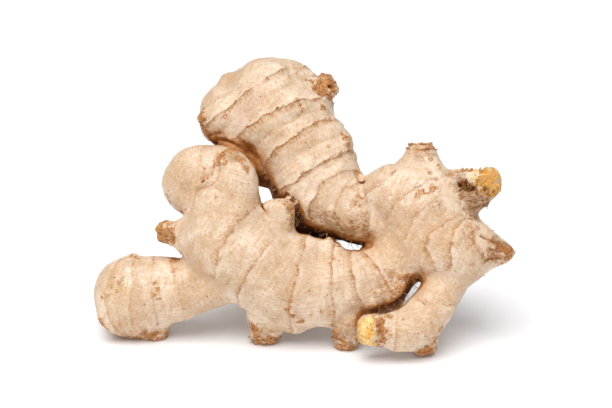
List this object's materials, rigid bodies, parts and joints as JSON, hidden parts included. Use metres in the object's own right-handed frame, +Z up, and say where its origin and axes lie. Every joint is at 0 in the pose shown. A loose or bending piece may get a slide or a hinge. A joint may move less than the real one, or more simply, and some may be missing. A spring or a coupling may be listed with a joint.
{
  "type": "ginger root",
  "caption": "Knobbly hand of fresh ginger: thick ringed fingers, blunt feet, bud stubs and broken ends, grown as one piece and resting on its own feet.",
  "frame": {"origin": "on the surface that the root rests on, under the middle of its bounding box", "axes": "+X along the hand's length, from the round left bulb to the pointed right end; +Y back, away from the face that shows the branching; +Z up"},
  "size_m": [0.1646, 0.0832, 0.1037],
  "materials": {
    "skin": "matte"
  },
  "bodies": {
    "root": {"ginger_root": "skin"}
  },
  "joints": []
}
